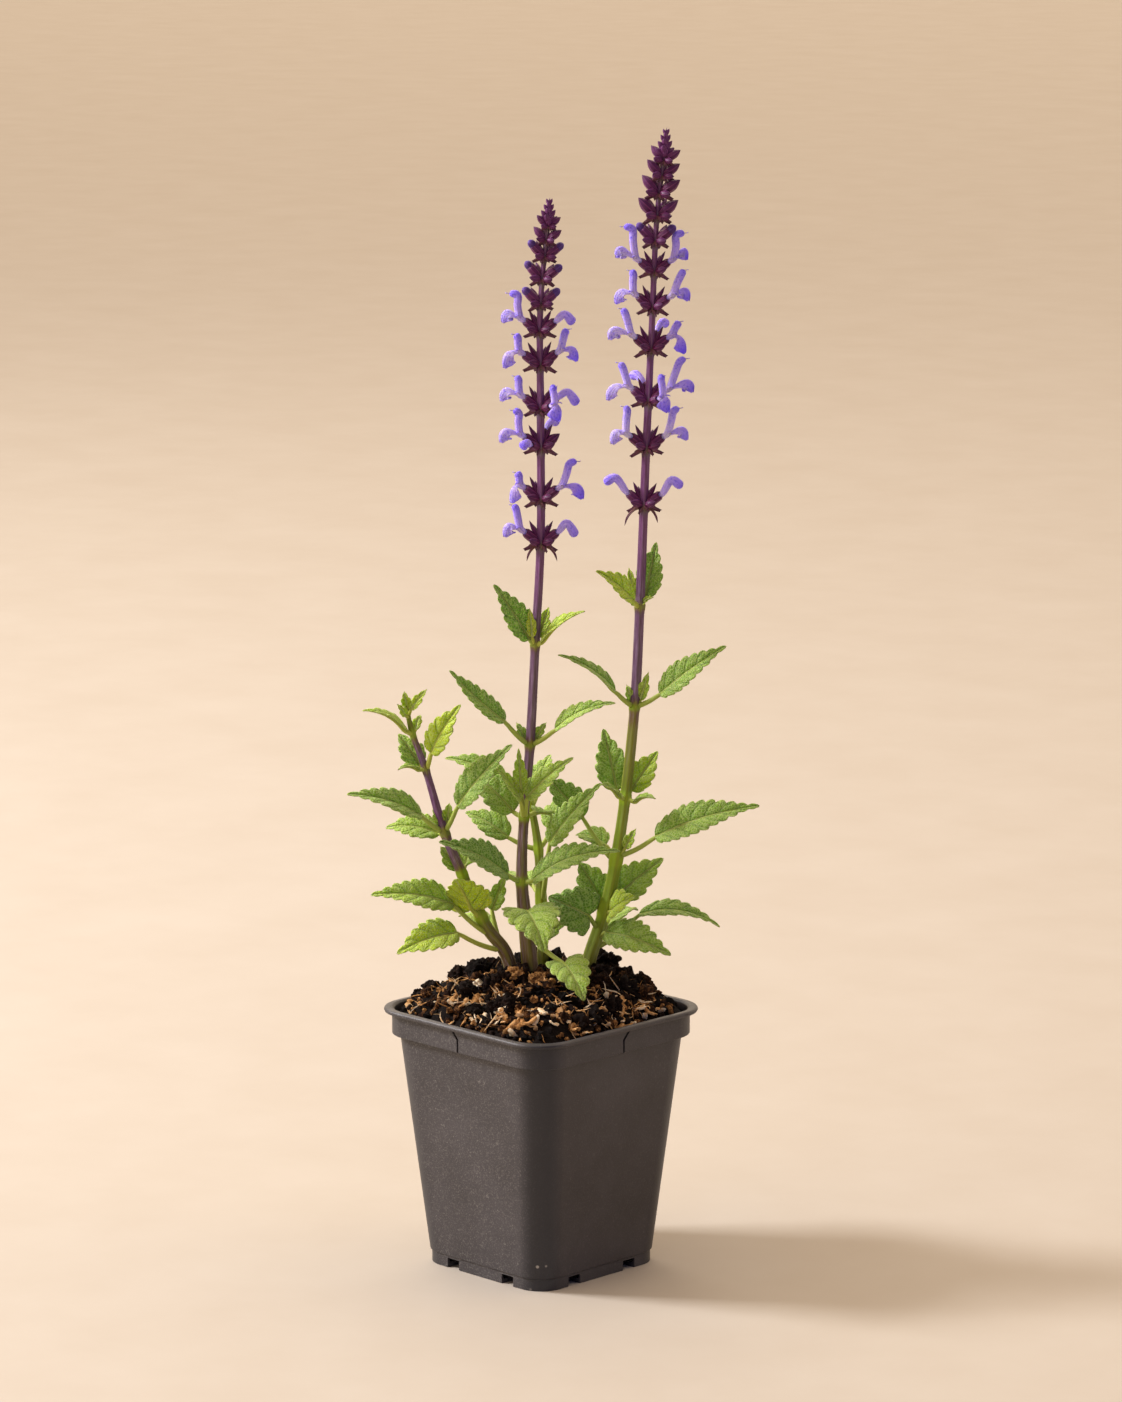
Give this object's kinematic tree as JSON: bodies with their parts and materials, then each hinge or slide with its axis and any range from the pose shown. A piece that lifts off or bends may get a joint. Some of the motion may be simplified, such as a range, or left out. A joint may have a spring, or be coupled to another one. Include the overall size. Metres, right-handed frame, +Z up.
{
  "type": "potted perennial salvia",
  "caption": "Young flowering salvia in a square plastic nursery pot: toothed leaf pairs and upright spikes of violet-blue two-lipped flowers.",
  "frame": {"origin": "centre of the pot's flat underside", "axes": "+Z up along the plant, X and Y along the pot's sides; the side seen in front at a corner lies between +X and -Y"},
  "size_m": [0.1052, 0.1118, 0.419],
  "materials": {
    "pot": "dusty charcoal moulded plastic",
    "soil": "loose dark peat with bark crumbs",
    "foliage": "rough net-veined living leaf, purple-brown upper stems and calyces",
    "corolla": "soft matte violet-blue petal, pale lavender tube"
  },
  "bodies": {
    "root": {"corolla_middle_1_left": "corolla", "corolla_middle_1_right": "corolla", "corolla_middle_2_left": "corolla", "corolla_middle_2_right": "corolla", "corolla_middle_3_left": "corolla", "corolla_middle_3_leftFront": "corolla", "corolla_middle_3_rightBack": "corolla", "corolla_middle_4_left": "corolla", "corolla_middle_4_right": "corolla", "corolla_middle_4_rightFront": "corolla", "corolla_middle_5_left": "corolla", "corolla_middle_5_right": "corolla", "corolla_middle_6_left": "corolla", "corolla_middle_6_right": "corolla", "corolla_right_1_left": "corolla", "corolla_right_1_right": "corolla", "corolla_right_2_left": "corolla", "corolla_right_2_right": "corolla", "corolla_right_3_left": "corolla", "corolla_right_3_leftBack": "corolla", "corolla_right_3_right": "corolla", "corolla_right_3_rightFront": "corolla", "corolla_right_4_left": "corolla", "corolla_right_4_right": "corolla", "corolla_right_4_rightBack": "corolla", "corolla_right_5_left": "corolla", "corolla_right_5_right": "corolla", "corolla_right_6_left": "corolla", "corolla_right_6_right": "corolla", "pot": "pot", "shoot_back": "foliage", "shoot_left": "foliage", "shoot_middle": "foliage", "shoot_right": "foliage", "soil": "soil"}
  },
  "joints": []
}
